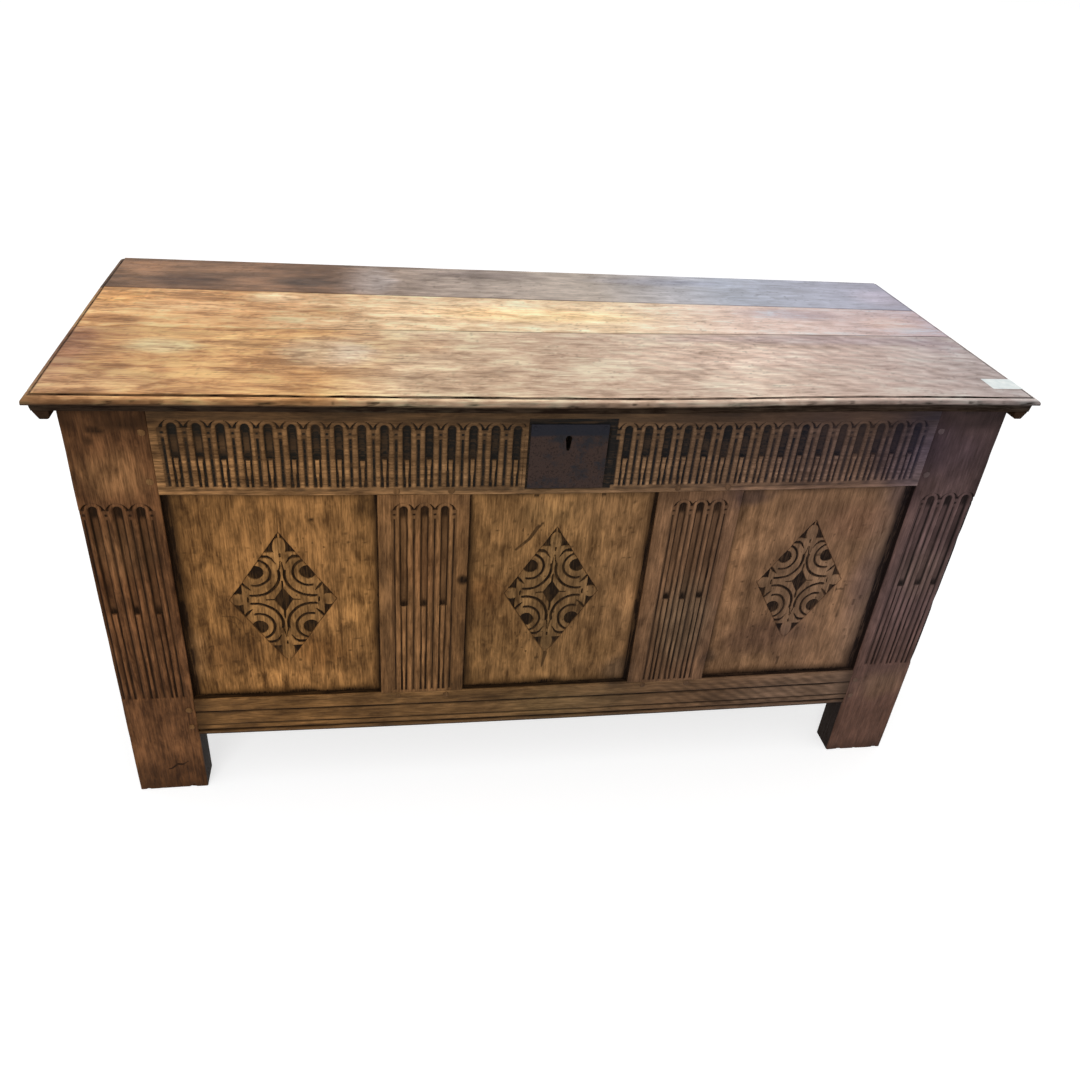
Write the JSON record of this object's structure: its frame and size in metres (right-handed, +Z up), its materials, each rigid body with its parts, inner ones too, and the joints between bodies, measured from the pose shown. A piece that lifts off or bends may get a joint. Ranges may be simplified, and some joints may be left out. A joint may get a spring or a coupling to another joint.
{
  "type": "joined oak coffer chest",
  "caption": "Panelled blanket chest on stile feet with a carved front, moulded boarded lid on strap hinges, till, and box lock with a sliding bolt.",
  "frame": {"origin": "on the floor under the middle of the closed lid", "axes": "+X to the chest's right as seen from the front, +Y to the back, +Z up; the carved front faces -Y"},
  "size_m": [1.222, 0.483, 0.644],
  "materials": {
    "oak_carved_frame": "old oak frame of the front, waxed, mid brown, worn light on the edges and near black in the carved hollows",
    "oak_frame": "old oak, plain frame of the ends and back, mid brown, dry",
    "oak_carved_panel": "old oak panel, golden brown with dark edges and dark carved ground",
    "oak_panel": "old oak panel, plain, brown",
    "oak_lid": "old oak lid, faded golden to grey brown, waxed and worn, light along its moulded edge",
    "oak_inside": "dry unpolished oak of the floor and the till",
    "oak_pegs": "dark end-grain oak pegs",
    "plate_iron": "old iron plate, blue black with brown rust",
    "wrought_iron": "forged iron, dark brown black, dull"
  },
  "bodies": {
    "carcase": {"back_bottom_rail": "oak_frame", "back_centre_panel": "oak_panel", "back_left_muntin": "oak_frame", "back_left_panel": "oak_panel", "back_left_stile": "oak_frame", "back_pegs": "oak_pegs", "back_right_muntin": "oak_frame", "back_right_panel": "oak_panel", "back_right_stile": "oak_frame", "back_top_rail": "oak_frame", "bolt_spring": "wrought_iron", "drill_pin": "wrought_iron", "floor_board_1": "oak_inside", "floor_board_2": "oak_inside", "floor_board_3": "oak_inside", "floor_board_4": "oak_inside", "floor_board_5": "oak_inside", "front_bottom_rail": "oak_carved_frame", "front_centre_panel": "oak_carved_panel", "front_left_muntin": "oak_carved_frame", "front_left_panel": "oak_carved_panel", "front_left_stile": "oak_carved_frame", "front_pegs": "oak_pegs", "front_right_muntin": "oak_carved_frame", "front_right_panel": "oak_carved_panel", "front_right_stile": "oak_carved_frame", "front_top_rail": "oak_carved_frame", "hinge_pins": "wrought_iron", "left_back_panel": "oak_panel", "left_bottom_rail": "oak_frame", "left_front_panel": "oak_panel", "left_hinge_leaf": "wrought_iron", "left_muntin": "oak_frame", "left_pegs": "oak_pegs", "left_top_rail": "oak_frame", "lock_back_plate": "wrought_iron", "lock_case": "wrought_iron", "lock_plate": "plate_iron", "right_back_panel": "oak_panel", "right_bottom_rail": "oak_frame", "right_front_panel": "oak_panel", "right_hinge_leaf": "wrought_iron", "right_muntin": "oak_frame", "right_pegs": "oak_pegs", "right_top_rail": "oak_frame", "till_bottom": "oak_inside", "till_side": "oak_inside"},
    "lid": {"lid_front_board": "oak_lid", "lid_middle_board": "oak_lid", "lid_back_board": "oak_lid", "left_cleat": "oak_lid", "right_cleat": "oak_lid", "left_hinge_strap": "wrought_iron", "right_hinge_strap": "wrought_iron", "lid_staple": "wrought_iron"},
    "lock_bolt": {"lock_bolt": "wrought_iron"}
  },
  "joints": [
    {"name": "lid_hinge", "type": "hinge", "parent": "carcase", "child": "lid", "pos_m": [0, 0.2247, 0.622], "axis": [-1, 0, 0], "range_deg": [0, 95]},
    {"name": "bolt_slide", "type": "slide", "parent": "carcase", "child": "lock_bolt", "axis": [1, 0, 0], "range_m": [0, 0.014]}
  ]
}
